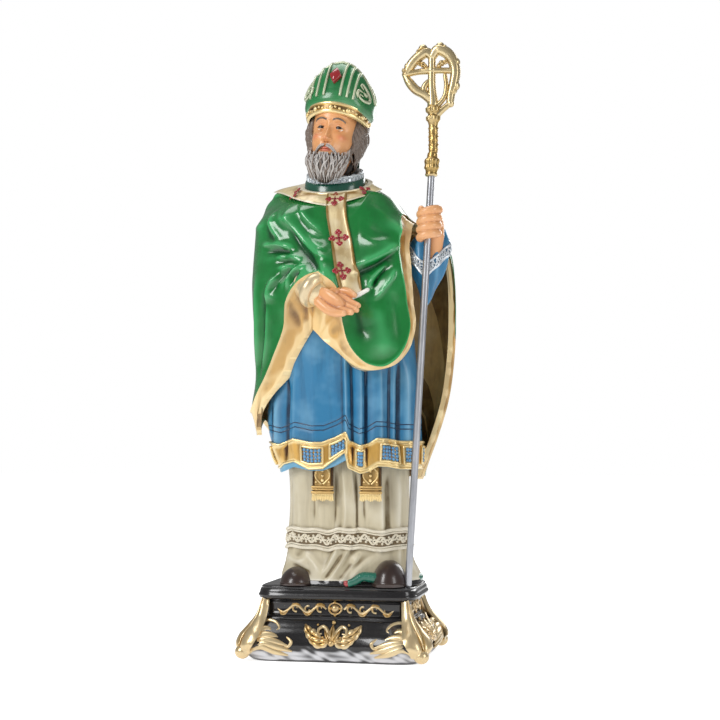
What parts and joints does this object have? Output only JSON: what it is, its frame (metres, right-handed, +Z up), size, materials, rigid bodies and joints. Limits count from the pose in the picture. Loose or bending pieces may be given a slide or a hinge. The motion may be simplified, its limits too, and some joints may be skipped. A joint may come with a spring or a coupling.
{
  "type": "wooden saint statue",
  "caption": "Carved and painted standing bishop saint in cape and tall cap, one hand held out, the other round a crozier, on a black and gold scrolled plinth.",
  "frame": {"origin": "centre of the plinth's underside", "axes": "+Z up, the figure looks along -Y, +X to the viewer's right"},
  "size_m": [0.1092, 0.0842, 0.2967],
  "materials": {
    "painted_figure": "carved wood, painted in gloss green, satin blue and cream, with gold edges and an antique wash",
    "painted_plinth": "gloss black paint with gilded leaves and scrolls",
    "steel_rod": "plain drawn rod, grey and a little dull",
    "gilded_cast_metal": "gilded casting with brown in the hollows"
  },
  "bodies": {
    "root": {"figure": "painted_figure", "plinth": "painted_plinth", "crozier_rod": "steel_rod", "crozier_head": "gilded_cast_metal"}
  },
  "joints": []
}
